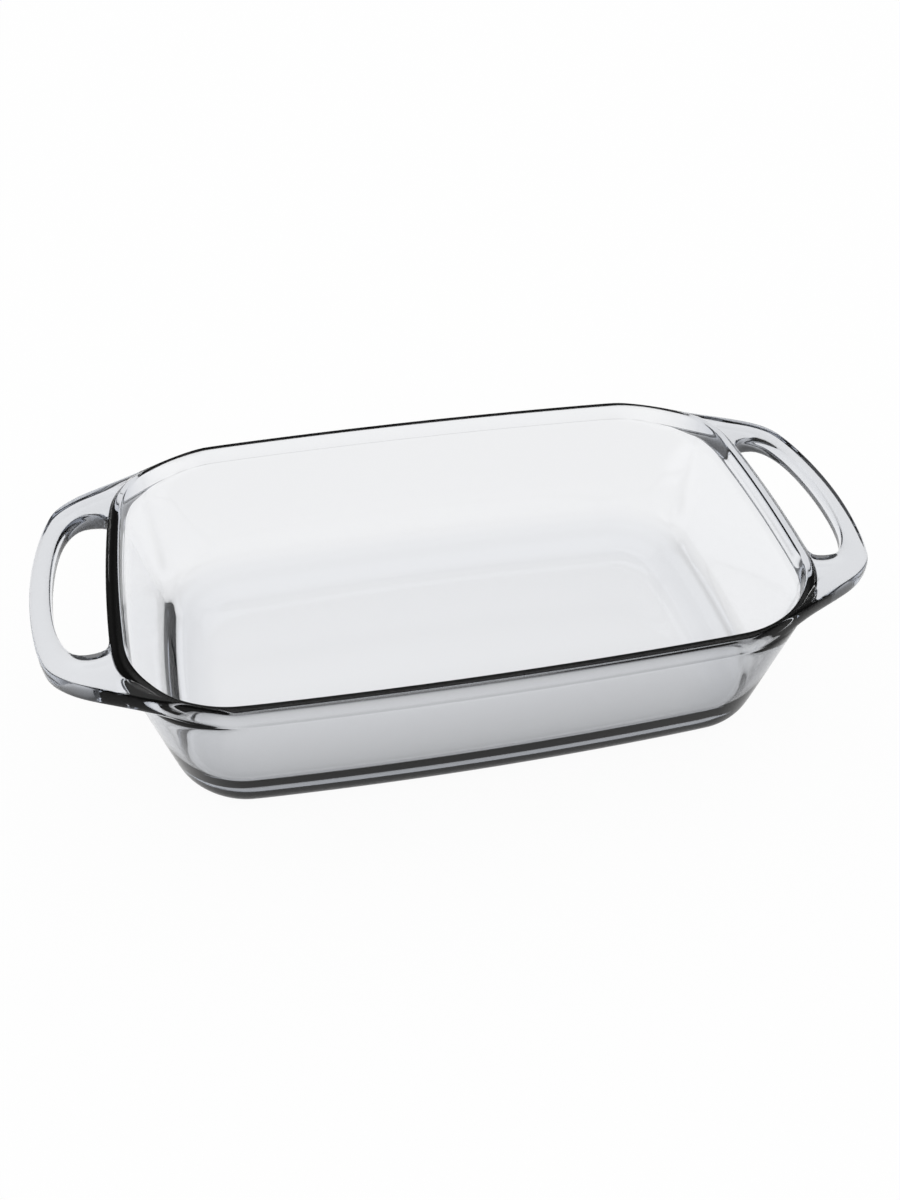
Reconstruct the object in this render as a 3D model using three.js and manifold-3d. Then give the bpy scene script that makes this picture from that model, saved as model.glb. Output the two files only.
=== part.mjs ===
// Glass roasting dish: one pressing of clear glass with a deep tapered basin,
// a flanged rim and a loop handle at each short end.
// Millimetres, +Z up, X along the length, origin on the underside at its centre.
import * as THREE from 'three';
import { mergeVertices } from 'three/addons/utils/BufferGeometryUtils.js';
import Module from 'manifold-3d';

const wasm = await Module();
wasm.setup();

// Overall sizes
const overallLength = 286;
const overallWidth = 145.8;
const handleHeight = 61;
const rimRise = 1.6;
const plateThickness = 7;
const edgeRound = 1.6;

// Basin
const mouthCorner = 31;
const sideBow = 2.2;
const wallThickness = 4.2;
const floorThickness = 5;
const wallDraft = THREE.MathUtils.degToRad(16);
const lipHeight = 4;
const lipTaper = 0.7;
const innerFillet = 18;
const outerFillet = 14;

// Rim bead, measured outwards from the mouth
const beadFoot = 4.2;
const beadCrown = 2.2;

// Flange on the long sides, and handles: their reach out from the mouth, and how far
// their corners stand back from the long sides
const flangeWidth = 3.1;
const handleReach = 29.6;
const handleInset = 24;
const handleCorner = 15.7;
const handleEndBow = 3.8;
const cornerFullness = 0.78;
const shoulderAngle = THREE.MathUtils.degToRad(27);
const shoulderLength = 24;
const shoulderBlend = 2.1151;
const gripWidth = 7;
const holeSpan = 71.6;
const holeClearance = 0.6;
const holeCorner = 6;
const holeShoulder = 9.6;
const holeShoulderLean = 3;

// Fineness of the facets
const cornerSteps = 10;
const sideSteps = 6;
const filletSteps = 5;
const curveSteps = 6;
const roundSteps = 2;

const mouthLength = overallLength - 2 * handleReach;
const mouthWidth = overallWidth - 2 * flangeWidth;
const handleSpan = overallWidth - 2 * handleInset;
const halfLength = overallLength / 2;
const halfWidth = overallWidth / 2;
const rimTop = handleHeight + rimRise;
const plateBottom = handleHeight - plateThickness;
const smallestCorner = 1;

// Joining and cutting of closed meshes

function solidFrom(geometry) {
  geometry.deleteAttribute('normal');
  geometry.deleteAttribute('uv');
  const merged = mergeVertices(geometry, 1e-4);
  return new wasm.Manifold(new wasm.Mesh({
    numProp: 3,
    vertProperties: new Float32Array(merged.attributes.position.array),
    triVerts: new Uint32Array(merged.index.array),
  }));
}

function geometryFrom(solid) {
  const mesh = solid.getMesh();
  const geometry = new THREE.BufferGeometry();
  geometry.setAttribute('position', new THREE.BufferAttribute(mesh.vertProperties, 3));
  geometry.setIndex(new THREE.BufferAttribute(mesh.triVerts, 1));
  geometry.computeVertexNormals();
  return geometry;
}

// One level ring of the basin: the mouth's outline moved outwards by grow,
// with each side drawn in by the bow towards its corners.
function basinRing(grow, z) {
  const halfX = mouthLength / 2 + grow;
  const halfY = mouthWidth / 2 + grow;
  const corner = Math.max(mouthCorner + grow, smallestCorner);
  const quarters = [[1, 1], [-1, 1], [-1, -1], [1, -1]];
  const outline = [];
  quarters.forEach(([signX, signY], quarter) => {
    const centre = new THREE.Vector2(signX * (halfX - corner), signY * (halfY - corner));
    for (let step = 0; step <= cornerSteps; step += 1) {
      const angle = (quarter + step / cornerSteps) * Math.PI / 2;
      const reach = new THREE.Vector2(Math.cos(angle), Math.sin(angle)).multiplyScalar(corner);
      outline.push(centre.clone().add(reach));
    }
  });
  const ring = [];
  outline.forEach((point, index) => {
    const next = outline[(index + 1) % outline.length];
    const onSide = index % (cornerSteps + 1) === cornerSteps;
    const count = onSide ? sideSteps : 1;
    for (let step = 0; step < count; step += 1) {
      ring.push(point.clone().lerp(next, step / count));
    }
  });
  return ring.map(({ x, y }) => new THREE.Vector3(
    x - sideBow * (x / halfX) * (y / halfY) ** 2,
    y - sideBow * (y / halfY) * (x / halfX) ** 2,
    z,
  ));
}

// A closed solid through level rings, listed from the bottom upwards.
function loft(rings) {
  const perRing = rings[0].length;
  const positions = rings.flat().flatMap((point) => point.toArray());
  const index = [];
  for (let level = 0; level < rings.length - 1; level += 1) {
    for (let point = 0; point < perRing; point += 1) {
      const a = level * perRing + point;
      const b = level * perRing + (point + 1) % perRing;
      index.push(a, b, b + perRing, a, b + perRing, a + perRing);
    }
  }
  const capFrom = (level, upward) => {
    const centre = positions.length / 3;
    positions.push(0, 0, rings[level][0].z);
    for (let point = 0; point < perRing; point += 1) {
      const a = level * perRing + point;
      const b = level * perRing + (point + 1) % perRing;
      index.push(...(upward ? [centre, a, b] : [centre, b, a]));
    }
  };
  capFrom(0, false);
  capFrom(rings.length - 1, true);
  const geometry = new THREE.BufferGeometry();
  geometry.setAttribute('position', new THREE.Float32BufferAttribute(positions, 3));
  geometry.setIndex(index);
  return geometry;
}

// Rings of a floor that turns up through a fillet into a drafted wall.
// wallGrow is the wall's offset from the mouth at height wallTop.
function drafted(wallGrow, wallTop, floor, fillet) {
  const growAtFloor = wallGrow - (wallTop - floor) * Math.tan(wallDraft);
  const turn = Math.PI / 2 - wallDraft;
  const setback = fillet * Math.tan(turn / 2);
  const rings = [];
  for (let step = 0; step <= filletSteps; step += 1) {
    const angle = turn * step / filletSteps;
    const grow = growAtFloor - setback + fillet * Math.sin(angle);
    rings.push(basinRing(grow, floor + fillet * (1 - Math.cos(angle))));
  }
  rings.push(basinRing(wallGrow, wallTop));
  return rings;
}

// Plan of the flange and its two loop handles

function planOutline() {
  const sideY = halfWidth - sideBow;
  const rootX = halfLength - handleCorner;
  const rootY = handleSpan / 2;
  const neckX = rootX - shoulderLength * Math.cos(shoulderAngle);
  const neckY = rootY + shoulderLength * Math.sin(shoulderAngle);
  const bendX = neckX - (sideY - neckY) / Math.tan(shoulderAngle);
  const sideX = bendX - shoulderBlend;
  const endX = halfLength - handleEndBow;
  const endY = rootY - handleCorner;
  const cornerX = rootX + (handleCorner - handleEndBow) * cornerFullness;
  const cornerY = rootY - (cornerX - rootX) * Math.tan(shoulderAngle);
  const quarter = new THREE.Path();
  quarter.moveTo(halfLength, 0);
  quarter.quadraticCurveTo(halfLength, endY / 2, endX, endY);
  quarter.quadraticCurveTo(cornerX, cornerY, rootX, rootY);
  quarter.lineTo(neckX, neckY);
  quarter.quadraticCurveTo(bendX, sideY, sideX, sideY);
  quarter.quadraticCurveTo(sideX / 2, halfWidth, 0, halfWidth);
  return mirrored(quarter.getPoints(curveSteps));
}

// The finger hole of the +X handle: straight beside the basin, bowed outside.
function holeOutline() {
  const innerX = mouthLength / 2 + beadFoot + holeClearance;
  const outerX = halfLength - gripWidth;
  const halfSpan = holeSpan / 2;
  const shoulderX = outerX - handleEndBow;
  const half = new THREE.Path();
  half.moveTo(outerX, 0);
  half.quadraticCurveTo(outerX, (halfSpan - holeShoulder) / 2, shoulderX, halfSpan - holeShoulder);
  half.quadraticCurveTo(shoulderX - holeShoulderLean, halfSpan, innerX + holeCorner, halfSpan);
  half.quadraticCurveTo(innerX, halfSpan, innerX, halfSpan - holeCorner);
  const upper = half.getPoints(curveSteps);
  const lower = upper.slice(1).reverse().map(({ x, y }) => new THREE.Vector2(x, -y));
  return [...upper, ...lower];
}

// A quarter outline from the X axis to the Y axis, repeated in all four quarters.
function mirrored(quarter) {
  const left = quarter.slice(0, -1).reverse().map(({ x, y }) => new THREE.Vector2(-x, y));
  const upper = [...quarter, ...left];
  const lower = upper.slice(1, -1).reverse().map(({ x, y }) => new THREE.Vector2(x, -y));
  return [...upper, ...lower];
}

// A level plate with rounded edges between two heights.
function plate(shape, bottom, top) {
  const geometry = new THREE.ExtrudeGeometry(shape, {
    depth: top - bottom - 2 * edgeRound,
    bevelEnabled: true,
    bevelThickness: edgeRound,
    bevelSize: edgeRound,
    bevelOffset: -edgeRound,
    bevelSegments: roundSteps,
  });
  geometry.translate(0, 0, bottom + edgeRound);
  return solidFrom(geometry);
}

function glassDish() {
  const outline = planOutline();
  const hole = holeOutline();
  const handleShape = new THREE.Shape(outline);
  handleShape.holes.push(new THREE.Path(hole));
  handleShape.holes.push(new THREE.Path(hole.map(({ x, y }) => new THREE.Vector2(-x, y))));
  const handlePlate = plate(handleShape, plateBottom, handleHeight);

  // The bead stands over the handles and is cut by the flange's edge on the long sides.
  const bead = solidFrom(loft([
    basinRing(beadFoot, handleHeight - edgeRound),
    basinRing(beadFoot, handleHeight),
    basinRing(beadCrown, rimTop),
  ]));
  const rim = plate(new THREE.Shape(outline), plateBottom, rimTop).intersect(bead);

  const wallAcross = wallThickness / Math.cos(wallDraft);
  const lipFoot = rimTop - lipHeight;
  const wallBelowLip = -lipTaper - (lipFoot - plateBottom) * Math.tan(wallDraft);
  const outer = solidFrom(loft(drafted(wallBelowLip + wallAcross, plateBottom, 0, outerFillet)
    .concat([basinRing(wallBelowLip + wallAcross, plateBottom + plateThickness / 2)])));

  const cavity = solidFrom(loft(drafted(-lipTaper, lipFoot, floorThickness, innerFillet)
    .concat([basinRing(0, rimTop), basinRing(0, rimTop + lipHeight)])));

  return geometryFrom(handlePlate.add(rim).add(outer).subtract(cavity));
}

const glass = new THREE.MeshStandardMaterial({
  color: 0xdfe6e8,
  roughness: 0.04,
  metalness: 0,
  transparent: true,
  opacity: 0.35,
});

const dish = new THREE.Mesh(glassDish(), glass);
dish.name = 'glass_dish';

const object = new THREE.Group();
object.add(dish);

export default object;
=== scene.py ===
# %% [markdown]
# # A glass roasting dish
# One pressing of clear glass: a deep basin with sloping walls, a rim, and a loop handle at
# each short end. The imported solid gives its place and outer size. Here the form is modelled
# again as one smooth surface, because glass bends light at every facet, so a surface that
# is only nearly round shows at once. Its lip, wall slope and fillets are set closer to the
# photograph than those of the solid.

import math

import bmesh
import bpy
import numpy as np
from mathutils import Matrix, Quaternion, Vector


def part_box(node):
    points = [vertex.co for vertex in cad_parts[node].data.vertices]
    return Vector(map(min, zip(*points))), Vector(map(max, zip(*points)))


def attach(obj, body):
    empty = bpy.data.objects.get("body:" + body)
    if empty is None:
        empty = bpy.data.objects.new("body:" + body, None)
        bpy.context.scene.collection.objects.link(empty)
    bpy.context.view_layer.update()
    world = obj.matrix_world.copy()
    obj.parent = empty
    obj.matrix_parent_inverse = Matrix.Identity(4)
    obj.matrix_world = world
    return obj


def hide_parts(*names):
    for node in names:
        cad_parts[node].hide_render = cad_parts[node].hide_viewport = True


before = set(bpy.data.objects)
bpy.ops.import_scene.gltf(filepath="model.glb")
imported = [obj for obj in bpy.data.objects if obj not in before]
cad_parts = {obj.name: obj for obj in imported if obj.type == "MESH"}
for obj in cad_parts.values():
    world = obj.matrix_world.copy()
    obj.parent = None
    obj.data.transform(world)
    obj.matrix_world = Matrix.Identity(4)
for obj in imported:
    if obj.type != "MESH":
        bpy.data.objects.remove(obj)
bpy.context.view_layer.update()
low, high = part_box("glass_dish")
MM = 0.001
print("frame: glass_dish from", tuple(low), "to", tuple(high))

# %% [markdown]
# ## The camera
# The picture is taken from above the front left, quite close, so the near rim looks wider
# than the far one. The place and turn were worked out from both handles and their holes,
# which lie in one level plane on the real dish, and the lens from the size of the outline.

# %% Camera
CAMERA_PLACE = Vector((-76.4, -324.6, 323.4)) * MM
CAMERA_AZIMUTH = math.radians(-13.06)
CAMERA_ELEVATION = math.radians(41.30)
CAMERA_ROLL = math.radians(1.05)
FOCAL_PIXELS = 1221.0
PICTURE_HEIGHT = 1200
SENSOR = 36.0
NEAR_CLIP = 0.01

camera_data = bpy.data.cameras.new("camera")
camera = bpy.data.objects.new("camera", camera_data)
bpy.context.scene.collection.objects.link(camera)
view_back = Vector((
    math.sin(CAMERA_AZIMUTH) * math.cos(CAMERA_ELEVATION),
    -math.cos(CAMERA_AZIMUTH) * math.cos(CAMERA_ELEVATION),
    math.sin(CAMERA_ELEVATION),
))
camera.location = CAMERA_PLACE
camera.rotation_mode = "QUATERNION"
level_turn = (-view_back).to_track_quat("-Z", "Y")
camera.rotation_quaternion = level_turn @ Quaternion((0, 0, 1), CAMERA_ROLL)
camera_data.sensor_width = SENSOR
camera_data.lens = SENSOR * FOCAL_PIXELS / PICTURE_HEIGHT
camera_data.clip_start = NEAR_CLIP
bpy.context.scene.camera = camera
bpy.context.scene.view_settings.view_transform = "Standard"
print("camera: lens", round(camera_data.lens, 2), "mm")

# %% [markdown]
# ## Columns round the dish
# The surface is a net of columns and rows. A column is a place on the way round the mouth,
# and all rows share the same columns, so that four-sided faces run cleanly from the floor
# over the rim to the underside. Each corner has ten steps, and the short ends have columns
# where their finger hole begins and ends.

# %% The mouth's outline, and any outline at a distance from it
MOUTH_HALF_LENGTH = 113.4
MOUTH_HALF_WIDTH = 69.8
MOUTH_CORNER = 31.0
MOUTH_BOW = 3.8
SMALLEST_CORNER = 16.0
HOLE_HALF_SPAN = 36.4
CORNER_STEPS = 10
SIDE_STEPS = 14
HOLE_STEPS = 12


def ring(grow):
    """Plan points of one row: the mouth's outline moved outwards by grow, column by column."""
    half_x = MOUTH_HALF_LENGTH + grow
    half_y = MOUTH_HALF_WIDTH + grow
    corner = max(MOUTH_CORNER + grow, SMALLEST_CORNER)
    flat_x = half_x - corner
    flat_y = half_y - corner
    hole_y = HOLE_HALF_SPAN / (MOUTH_HALF_WIDTH - MOUTH_CORNER) * flat_y
    points = []
    for quarter, (sign_x, sign_y) in enumerate(((1, 1), (-1, 1), (-1, -1), (1, -1))):
        for step in range(CORNER_STEPS + 1):
            angle = (quarter + step / CORNER_STEPS) * math.pi / 2
            points.append((sign_x * flat_x + corner * math.cos(angle),
                           sign_y * flat_y + corner * math.sin(angle)))
        if quarter % 2 == 0:
            for step in range(1, SIDE_STEPS):
                along = 1 - 2 * step / SIDE_STEPS
                points.append((sign_x * flat_x * along, sign_y * half_y))
        else:
            for step in range(HOLE_STEPS + 1):
                along = 1 - 2 * step / HOLE_STEPS
                points.append((sign_x * half_x, sign_y * hole_y * along))
    return [Vector((x - MOUTH_BOW * x / half_x * (y / half_y) ** 2,
                    y - MOUTH_BOW * y / half_y * (x / half_x) ** 2)) for x, y in points]


mouth = ring(0)
COLUMNS = len(mouth)
print("columns:", COLUMNS)

# %% [markdown]
# ## The outline seen from above
# The flange is narrow on the long sides and grows into the loop handles at the ends: a bowed
# end, a rounded corner, and a straight shoulder back to the side. Five curves make a quarter
# of it, and the other quarters mirror it.

# %% Outline of the flange and handles
FLANGE_BOW = 2.2
HANDLE_HALF_SPAN = 48.9
HANDLE_CORNER = 15.7
HANDLE_END_BOW = 3.8
CORNER_FULLNESS = 0.78
SHOULDER_ANGLE = math.radians(27)
SHOULDER_LENGTH = 24.0
half_length = high.x / MM
half_width = high.y / MM
CURVE_STEPS = 40


def bow(start, control, end):
    """Points along a curve that leaves start and reaches end, drawn towards control."""
    share = np.linspace(0, 1, CURVE_STEPS)[:, None]
    start, control, end = (np.array(p, float) for p in (start, control, end))
    return (1 - share) ** 2 * start + 2 * share * (1 - share) * control + share ** 2 * end


def quarter_outline():
    """The edge of one quarter, from the end of the handle round to the middle of the side."""
    side_y = half_width - FLANGE_BOW
    side_x = MOUTH_HALF_LENGTH - MOUTH_CORNER
    root = (half_length - HANDLE_CORNER, HANDLE_HALF_SPAN)
    neck = (root[0] - SHOULDER_LENGTH * math.cos(SHOULDER_ANGLE),
            root[1] + SHOULDER_LENGTH * math.sin(SHOULDER_ANGLE))
    bend_x = neck[0] - (side_y - neck[1]) / math.tan(SHOULDER_ANGLE)
    end = (half_length - HANDLE_END_BOW, HANDLE_HALF_SPAN - HANDLE_CORNER)
    corner_x = root[0] + (HANDLE_CORNER - HANDLE_END_BOW) * CORNER_FULLNESS
    corner_y = root[1] - (corner_x - root[0]) * math.tan(SHOULDER_ANGLE)
    return np.vstack([
        bow((half_length, 0), (half_length, end[1] / 2), end),
        bow(end, (corner_x, corner_y), root)[1:],
        bow(root, neck, neck)[1:],
        bow(neck, (bend_x, side_y), (side_x, side_y))[1:],
        bow((side_x, side_y), (side_x / 2, half_width), (0, half_width))[1:],
    ])


quarter = quarter_outline()
along = np.concatenate([[0], np.cumsum(np.hypot(*np.diff(quarter, axis=0).T))])
END_SPREAD = 1.1
corner_start = np.interp(END_SPREAD * mouth[0].y, quarter[:, 1], along)
corner_stop = np.interp(-mouth[CORNER_STEPS].x, -quarter[:, 0], along)


def outline_point(column):
    """Where a column reaches the edge of the flange or handle."""
    x, y = abs(mouth[column].x), abs(mouth[column].y)
    turn = math.atan2(y - (MOUTH_HALF_WIDTH - MOUTH_CORNER), x - (MOUTH_HALF_LENGTH - MOUTH_CORNER))
    if y <= mouth[0].y:
        place = np.interp(END_SPREAD * y, quarter[:, 1], along)
    elif x <= mouth[CORNER_STEPS].x:
        place = np.interp(-x, -quarter[:, 0], along)
    else:
        place = corner_start + (corner_stop - corner_start) * turn / (math.pi / 2)
    edge = Vector((np.interp(place, along, quarter[:, 0]), np.interp(place, along, quarter[:, 1])))
    return Vector((math.copysign(edge.x, mouth[column].x), math.copysign(edge.y, mouth[column].y)))


edge = [outline_point(column) for column in range(COLUMNS)]
shelf_width = [(edge[column] - mouth[column]).length for column in range(COLUMNS)]
print("flange width:", round(min(shelf_width), 2), "to", round(max(shelf_width), 2), "mm")

# %% [markdown]
# ## Rows of the section
# Walking along a cut through the wall gives the rows: the flat floor, a wide fillet, the
# sloping inner wall, the upright lip, over the bead, across the handle, round its edge and
# back underneath, down the outer wall and in under the base. The bead stands a little over
# the handles and sinks along the long sides. There the flange is so narrow that its rows are
# squeezed together, so each of them has a distance on the handles and a share on the sides.

# %% Heights and slopes of the section
RIM_TOP = high.z / MM
RIM_RISE = 1.6
SIDE_RISE = 0.25
PLATE_THICKNESS = 7.0
HANDLE_TOP = RIM_TOP - RIM_RISE
PLATE_BOTTOM = HANDLE_TOP - PLATE_THICKNESS
LIP_HEIGHT = 9.0
LIP_TAPER = 0.8
LIP_BLEND = 1.5
FLOOR = 5.0
WALL = 3.2
SLOPE = math.radians(13.5)
INNER_FILLET = 20.0
OUTER_FILLET = 14.0
FILLET_STEPS = 7
INNER_HEIGHTS = (28, 37, 46)
OUTER_HEIGHTS = (46, 37, 28, 19)
CAP_GROW = -50
MIDDLE_GROW = -36
BEAD_CROWN = 2.6
BEAD_FOOT = 4.4
HOLE_EDGE = 4.9
GRIP = 7.0
HOLE_ROUNDING = 6.0
HOLE_ROUNDING_POWER = 6
ROUND = 1.8
NARROW = 5.0
WIDE = 14.0
lip_foot = RIM_TOP - LIP_HEIGHT
outer_grow = -LIP_TAPER - (lip_foot - PLATE_BOTTOM) * math.tan(SLOPE) + WALL / math.cos(SLOPE)


def blend(low_value, high_value, share):
    """A smooth change from one value to another as share goes from 0 to 1."""
    share = min(max(share, 0.0), 1.0)
    return low_value + (high_value - low_value) * share * share * (3 - 2 * share)


def handle_share(width):
    """0 where the flange is narrow, on the long sides, and 1 where it is a handle."""
    return (width - NARROW) / (WIDE - NARROW)


# The bead stands highest beside the handles and sinks along the long sides.
bead_top = [HANDLE_TOP + RIM_RISE * blend(SIDE_RISE, 1.0, handle_share(w)) for w in shelf_width]


def bead_height(distance, column):
    """Height of the top surface at a distance out from the mouth."""
    fall = (distance - BEAD_CROWN) / (BEAD_FOOT - BEAD_CROWN)
    return blend(bead_top[column], HANDLE_TOP, fall)


def level(grow, z):
    """A row of the basin: all columns at one offset and one height."""
    return [Vector((*point, z)) for point in ring(grow)]


def lip(grow, below):
    """A row near the mouth's edge: all columns at one offset, below the top of the bead."""
    return [Vector((*point, top - below)) for point, top in zip(ring(grow), bead_top)]


def grip_width(point):
    """Width of the grip beside the hole, growing towards the ends of the hole to round it."""
    along_hole = min(abs(point.y) / HOLE_HALF_SPAN, 1.0)
    return GRIP + HOLE_ROUNDING * along_hole ** HOLE_ROUNDING_POWER


grip = [grip_width(point) for point in mouth]


def beside_wall(width, share):
    """A distance between the outer wall and the edge of a flange of this width."""
    return outer_grow + (width - outer_grow) * share


def shelf(nominal, squeezed, height, back=None):
    """A row across the flange: nominal distance on the handles, squeezed share on the sides.
    back draws each column back from its nominal distance."""
    row = []
    for column in range(COLUMNS):
        width = shelf_width[column]
        wanted = nominal(width) - (back[column] if back else 0.0)
        distance = blend(squeezed(width), wanted, handle_share(width))
        point = mouth[column].lerp(edge[column], distance / width)
        row.append(Vector((*point, height(distance, column))))
    return row


def fillet(grow_at_top, top, floor, radius):
    """Rows from a flat floor through a fillet into a sloping wall, from the floor upwards."""
    corner = grow_at_top - (top - floor) * math.tan(SLOPE)
    turn = math.pi / 2 - SLOPE
    flat = corner - radius * math.tan(turn / 2)
    angles = [turn * step / FILLET_STEPS for step in range(FILLET_STEPS + 1)]
    return [level(flat + radius * math.sin(a), floor + radius * (1 - math.cos(a))) for a in angles]


def wall(grow_at_top, top, heights):
    """Rows of a sloping wall at the given heights."""
    return [level(grow_at_top - (top - z) * math.tan(SLOPE), z) for z in heights]


# %% All rows in order
inside = [level(CAP_GROW, FLOOR), level(MIDDLE_GROW, FLOOR)]
inside += fillet(-LIP_TAPER, lip_foot, FLOOR, INNER_FILLET)
inside += wall(-LIP_TAPER, lip_foot, (*INNER_HEIGHTS, lip_foot - LIP_BLEND, lip_foot))
inside += [level(-LIP_TAPER * 0.85, lip_foot + LIP_BLEND), lip(-LIP_TAPER * 0.35, 3.0)]
inside += [lip(-0.1, 1.0), lip(0.1, 0.2)]

top_rows = [
    shelf(lambda w: 0.7, lambda w: 0.16 * w, bead_height),
    shelf(lambda w: BEAD_CROWN, lambda w: 0.26 * w, bead_height),
    shelf(lambda w: 3.5, lambda w: 0.33 * w, bead_height),
    shelf(lambda w: BEAD_FOOT, lambda w: 0.40 * w, bead_height),
    shelf(lambda w: HOLE_EDGE, lambda w: 0.45 * w, bead_height),
    shelf(lambda w: w, lambda w: 0.50 * w, bead_height, back=grip),
    shelf(lambda w: w - ROUND, lambda w: 0.56 * w, bead_height),
]
rim_edge = [
    shelf(lambda w: w - 0.5, lambda w: w - 0.45, lambda d, c: bead_height(d, c) - 0.35),
    shelf(lambda w: w, lambda w: w, lambda d, c: bead_height(d, c) - ROUND),
    shelf(lambda w: w, lambda w: beside_wall(w, 0.9), lambda d, c: PLATE_BOTTOM + ROUND),
    shelf(lambda w: w - 0.4, lambda w: beside_wall(w, 0.6), lambda d, c: PLATE_BOTTOM + 0.3),
]


def under(nominal, share, back=None):
    """A row on the underside of the flange, between its edge and the outer wall."""
    return shelf(nominal, lambda w: beside_wall(w, share), lambda d, c: PLATE_BOTTOM, back)


under_rows = [
    under(lambda w: w - ROUND, 0.46),
    under(lambda w: w, 0.36, back=grip),
    under(lambda w: HOLE_EDGE, 0.24),
    under(lambda w: HOLE_EDGE - 0.9, 0.12),
]
outside = wall(outer_grow, PLATE_BOTTOM, (PLATE_BOTTOM - LIP_BLEND, *OUTER_HEIGHTS))
outside += fillet(outer_grow, PLATE_BOTTOM, 0, OUTER_FILLET)[::-1]
outside += [level(MIDDLE_GROW, 0), level(CAP_GROW, 0)]
rows = inside + top_rows + rim_edge + under_rows + outside
print("rows:", len(rows))

# %% [markdown]
# ## Modelling the dish
# A circle with one corner for each column becomes the first row on the floor. Then the loop
# is extruded and each new loop is moved to its place, row after row, as a potter would draw
# a wall up and over. The two ends of the net are filled, which closes floor and underside,
# and their edges are creased, so that smoothing doesn't draw them towards the middle.

# %% Extrude the net row by row
bpy.ops.object.select_all(action="DESELECT")
bpy.ops.mesh.primitive_circle_add(vertices=COLUMNS, radius=0.05, fill_type="NOTHING")
dish = bpy.context.object
dish.name = "clear_glass_dish"
bpy.ops.object.mode_set(mode="EDIT")


def place_row(column_of, row):
    """Moves the vertices of the newest loop to their row."""
    net = bmesh.from_edit_mesh(dish.data)
    net.verts.ensure_lookup_table()
    for vertex, column in column_of.items():
        net.verts[vertex].co = row[column] * MM
    bmesh.update_edit_mesh(dish.data)


def extrude_row(column_of, row):
    """Extrudes the selected loop, and returns which column each new vertex belongs to."""
    bpy.ops.mesh.extrude_region_move()
    net = bmesh.from_edit_mesh(dish.data)
    net.verts.ensure_lookup_table()
    fresh = {}
    for vertex in net.verts:
        if vertex.select:
            for link in vertex.link_edges:
                before = link.other_vert(vertex).index
                if before in column_of:
                    fresh[vertex.index] = column_of[before]
    place_row(fresh, row)
    return fresh


bpy.ops.mesh.select_all(action="SELECT")
loop = {index: index for index in range(COLUMNS)}
place_row(loop, rows[0])
for row in rows[1:]:
    loop = extrude_row(loop, row)
bpy.ops.transform.edge_crease(value=1.0)
bpy.ops.mesh.edge_face_add()
bpy.ops.mesh.select_all(action="DESELECT")
net = bmesh.from_edit_mesh(dish.data)
for vertex in net.verts:
    vertex.select = vertex.index < COLUMNS
net.select_flush(True)
bmesh.update_edit_mesh(dish.data)
bpy.ops.transform.edge_crease(value=1.0)
bpy.ops.mesh.edge_face_add()
bpy.ops.mesh.select_all(action="SELECT")
bpy.ops.mesh.normals_make_consistent(inside=False)
print("net:", len(dish.data.vertices), "vertices before the holes")

# %% [markdown]
# ## Finger holes
# The hole of a handle is cut by bridging: the faces above and below it are selected, and the
# bridge takes them away and joins their edges with the wall of the hole. Two extra cuts keep
# that wall upright, and the subdivision rounds its corners.

# %% Bridge the hole of each handle
HOLE_CUTS = 2
HOLE_FACE_REACH = 16.0
LEVEL_LIMIT = 0.9
for end in (1, -1):
    bpy.ops.mesh.select_mode(type="FACE")
    bpy.ops.mesh.select_all(action="DESELECT")
    net = bmesh.from_edit_mesh(dish.data)
    for face in net.faces:
        centre = face.calc_center_median() / MM
        level_face = abs(face.normal.z) > LEVEL_LIMIT and centre.z > PLATE_BOTTOM - 1
        beyond = end * centre.x - MOUTH_HALF_LENGTH
        in_hole = HOLE_EDGE < beyond < HOLE_FACE_REACH
        if level_face and in_hole and abs(centre.y) < HOLE_HALF_SPAN:
            face.select = True
    chosen = sum(face.select for face in net.faces)
    bmesh.update_edit_mesh(dish.data)
    bpy.ops.mesh.bridge_edge_loops(number_cuts=HOLE_CUTS)
    print("hole at end", end, "made from", chosen, "faces")
bpy.ops.mesh.select_mode(type="VERT")
bpy.ops.mesh.select_all(action="SELECT")
bpy.ops.mesh.normals_make_consistent(inside=False)
bpy.ops.object.mode_set(mode="OBJECT")

# %% Smooth the net
SMOOTH_LEVELS = 2
smooth = dish.modifiers.new("smooth", "SUBSURF")
smooth.levels = SMOOTH_LEVELS
smooth.render_levels = SMOOTH_LEVELS
bpy.ops.object.modifier_apply(modifier="smooth")
bpy.ops.object.shade_smooth()
print("dish:", len(dish.data.polygons), "faces")

# %% [markdown]
# ## Clear glass
# Glass is colourless where it is thin and grey where light runs far inside it, as along the
# rim. So the surface is white with full transmission, and the tone comes from absorption in
# the volume. Pressed glass is never quite flat: a broad, very weak bump makes the lines that
# it bends wander a little, and a faint change of roughness keeps highlights from being perfect.

# %% Material
GLASS_INDEX = 1.5
ABSORPTION_COLOUR = (0.46, 0.50, 0.58, 1.0)
ABSORPTION_DENSITY = 50.0
WAVE_SCALE = 22.0
WAVE_DEPTH = 0.00012
WAVE_STRENGTH = 0.6
MOST_HAZE = 0.02

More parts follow.
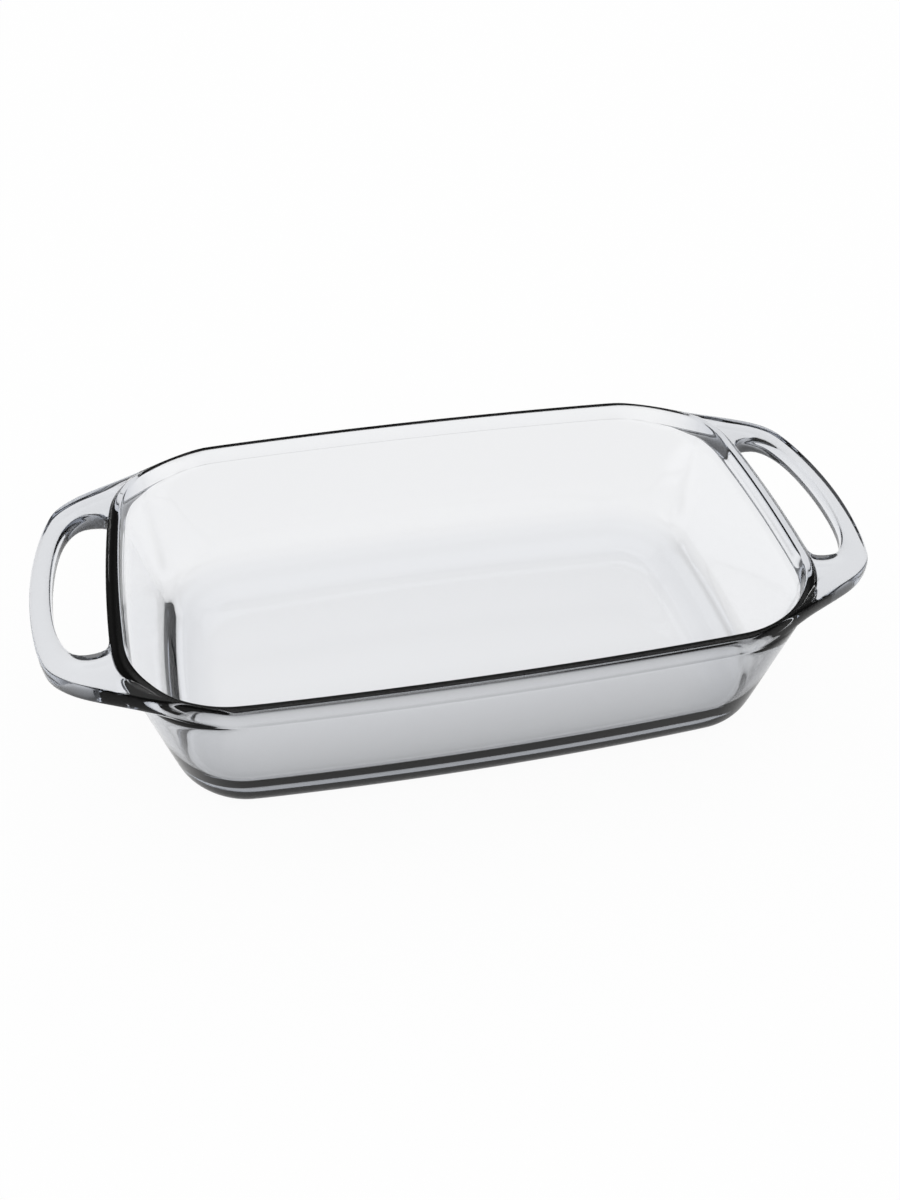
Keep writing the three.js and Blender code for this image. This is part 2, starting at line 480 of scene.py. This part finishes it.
glass = bpy.data.materials.new("clear_pressed_glass")
glass.use_nodes = True
nodes = glass.node_tree.nodes
links = glass.node_tree.links
surface = nodes["Principled BSDF"]
surface.inputs["Base Color"].default_value = (1.0, 1.0, 1.0, 1.0)
surface.inputs["Transmission Weight"].default_value = 1.0
surface.inputs["IOR"].default_value = GLASS_INDEX
coordinates = nodes.new("ShaderNodeTexCoord")
waves = nodes.new("ShaderNodeTexNoise")
waves.inputs["Scale"].default_value = WAVE_SCALE
waves.inputs["Detail"].default_value = 1.0
links.new(coordinates.outputs["Object"], waves.inputs["Vector"])
bump = nodes.new("ShaderNodeBump")
bump.inputs["Strength"].default_value = WAVE_STRENGTH
bump.inputs["Distance"].default_value = WAVE_DEPTH
links.new(waves.outputs["Fac"], bump.inputs["Height"])
links.new(bump.outputs["Normal"], surface.inputs["Normal"])
haze = nodes.new("ShaderNodeMapRange")
haze.inputs["From Min"].default_value = 0.35
haze.inputs["From Max"].default_value = 0.75
haze.inputs["To Min"].default_value = 0.0
haze.inputs["To Max"].default_value = MOST_HAZE
links.new(waves.outputs["Fac"], haze.inputs["Value"])
links.new(haze.outputs["Result"], surface.inputs["Roughness"])
absorption = nodes.new("ShaderNodeVolumeAbsorption")
absorption.inputs["Color"].default_value = ABSORPTION_COLOUR
absorption.inputs["Density"].default_value = ABSORPTION_DENSITY
links.new(absorption.outputs["Volume"], nodes["Material Output"].inputs["Volume"])
dish.data.materials.append(glass)
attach(dish, "root")
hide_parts("glass_dish")
print("glass: index", GLASS_INDEX)

# %% [markdown]
# ## Floor and background
# The dish stands on a white sweep without a horizon. The floor shows plain white to the camera,
# with a share of matt white that keeps a soft shadow under the dish. Seen through the glass or
# mirrored in it, the sweep carries painted shade: bright behind and dimmer towards the front,
# which is what darkens the front wall and the rim in the camera's view.

# %% White floor
FLOOR_SIZE = 12.0
FLOOR_GAP = 0.0003
SHADOW_SHARE = 0.06
DIM_FRONT = -0.085
BRIGHT_BACK = 0.0
FRONT_LIGHT = 0.28
bpy.ops.object.select_all(action="DESELECT")
bpy.ops.mesh.primitive_plane_add(size=FLOOR_SIZE, location=(0, 0, -FLOOR_GAP))
floor = bpy.context.object
floor.name = "floor"
bpy.ops.object.transform_apply(location=True)
paper = bpy.data.materials.new("white_paper")
paper.use_nodes = True
nodes = paper.node_tree.nodes
links = paper.node_tree.links
matt = nodes["Principled BSDF"]
matt.inputs["Base Color"].default_value = (0.9, 0.9, 0.9, 1.0)
matt.inputs["Roughness"].default_value = 0.9
matt.inputs["Specular IOR Level"].default_value = 0.0
glow = nodes.new("ShaderNodeEmission")
glow.inputs["Color"].default_value = (1.0, 1.0, 1.0, 1.0)
path = nodes.new("ShaderNodeLightPath")
place = nodes.new("ShaderNodeTexCoord")
depth = nodes.new("ShaderNodeSeparateXYZ")
links.new(place.outputs["Object"], depth.inputs["Vector"])
# Painted shade: rays that met the glass see the floor dimmer towards the front, down to
# FRONT_LIGHT.
painted_front_shade = nodes.new("ShaderNodeMapRange")
painted_front_shade.interpolation_type = "SMOOTHSTEP"
painted_front_shade.inputs["From Min"].default_value = DIM_FRONT
painted_front_shade.inputs["From Max"].default_value = BRIGHT_BACK
painted_front_shade.inputs["To Min"].default_value = FRONT_LIGHT
painted_front_shade.inputs["To Max"].default_value = 1.0
links.new(depth.outputs["Y"], painted_front_shade.inputs["Value"])
shine = nodes.new("ShaderNodeMath")
shine.operation = "MAXIMUM"
links.new(path.outputs["Is Camera Ray"], shine.inputs[0])
links.new(painted_front_shade.outputs["Result"], shine.inputs[1])
links.new(shine.outputs["Value"], glow.inputs["Strength"])
bent = nodes.new("ShaderNodeMath")
bent.operation = "MAXIMUM"
links.new(path.outputs["Is Transmission Ray"], bent.inputs[0])
links.new(path.outputs["Is Glossy Ray"], bent.inputs[1])
share = nodes.new("ShaderNodeMath")
share.operation = "MULTIPLY_ADD"
share.use_clamp = True
share.inputs[1].default_value = 1.0 - SHADOW_SHARE
links.new(path.outputs["Is Camera Ray"], share.inputs[0])
links.new(bent.outputs["Value"], share.inputs[2])
sweep = nodes.new("ShaderNodeMixShader")
links.new(share.outputs["Value"], sweep.inputs["Fac"])
links.new(matt.outputs["BSDF"], sweep.inputs[1])
links.new(glow.outputs["Emission"], sweep.inputs[2])
links.new(sweep.outputs["Shader"], nodes["Material Output"].inputs["Surface"])
floor.data.materials.append(paper)

# %% [markdown]
# ## The room round the dish
# Clear glass is drawn by what it mirrors. Everything behind it is white, so its outlines need
# a darker room: a wide soft light overhead that falls off to a dim grey at the horizon. Only
# light that met the glass sees that room. The camera and the floor see plain white instead.

# %% World
HORIZON_GREY = 0.12
ZENITH_WHITE = 1.0
DIM_BELOW = 0.55
BRIGHT_ABOVE = 0.95
world = bpy.data.worlds.new("studio")
bpy.context.scene.world = world
world.use_nodes = True
nodes = world.node_tree.nodes
links = world.node_tree.links
white = nodes["Background"]
white.inputs["Color"].default_value = (1.0, 1.0, 1.0, 1.0)
room = nodes.new("ShaderNodeBackground")
direction = nodes.new("ShaderNodeTexCoord")
split = nodes.new("ShaderNodeSeparateXYZ")
links.new(direction.outputs["Generated"], split.inputs["Vector"])
rise = nodes.new("ShaderNodeMapRange")
rise.interpolation_type = "SMOOTHSTEP"
rise.inputs["From Min"].default_value = DIM_BELOW
rise.inputs["From Max"].default_value = BRIGHT_ABOVE
rise.inputs["To Min"].default_value = HORIZON_GREY
rise.inputs["To Max"].default_value = ZENITH_WHITE
links.new(split.outputs["Z"], rise.inputs["Value"])
links.new(rise.outputs["Result"], room.inputs["Strength"])
path = nodes.new("ShaderNodeLightPath")
mirrored = nodes.new("ShaderNodeMixShader")
links.new(path.outputs["Is Glossy Ray"], mirrored.inputs["Fac"])
links.new(white.outputs["Background"], mirrored.inputs[1])
links.new(room.outputs["Background"], mirrored.inputs[2])
links.new(mirrored.outputs["Shader"], nodes["World Output"].inputs["Surface"])
print("floor and world made")
